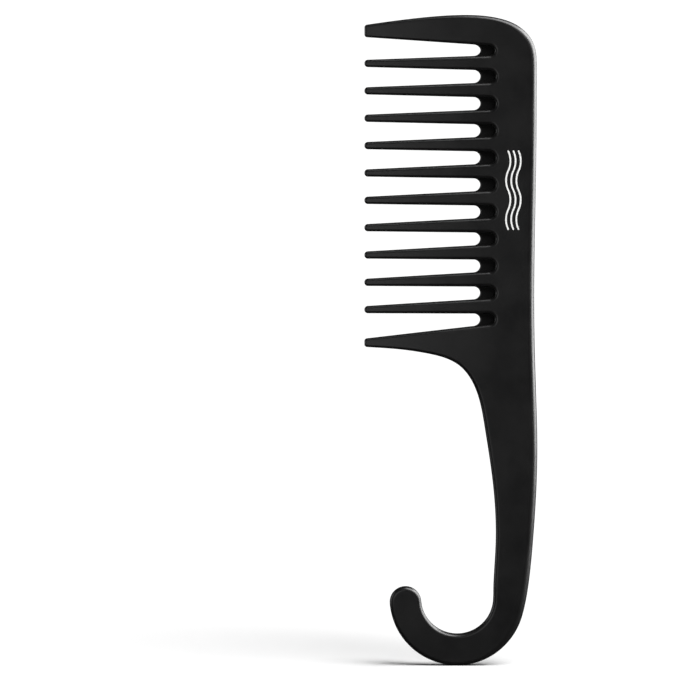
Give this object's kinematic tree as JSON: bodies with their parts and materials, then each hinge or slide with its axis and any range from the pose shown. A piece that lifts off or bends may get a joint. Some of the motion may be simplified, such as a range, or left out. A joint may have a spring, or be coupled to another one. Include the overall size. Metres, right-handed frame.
{
  "type": "wide tooth comb",
  "caption": "Wide tooth detangling comb: stout end teeth, open tapering teeth, rounded edges, and a handle that ends in a hook for hanging on a shower rail.",
  "frame": {"origin": "lowest point of the hook's level, under the middle of the comb's width, halfway through its thickness", "axes": "+Z along the spine from the hook to the toothed head, -X the way the teeth point, -Y out of the printed face"},
  "size_m": [0.0641, 0.0051, 0.2412],
  "materials": {
    "black_plastic": "satin moulded, fine matte grain",
    "white_ink": "matte pad-printed ink"
  },
  "bodies": {
    "root": {"comb_moulding": "black_plastic", "printed_motif": "white_ink"}
  },
  "joints": []
}
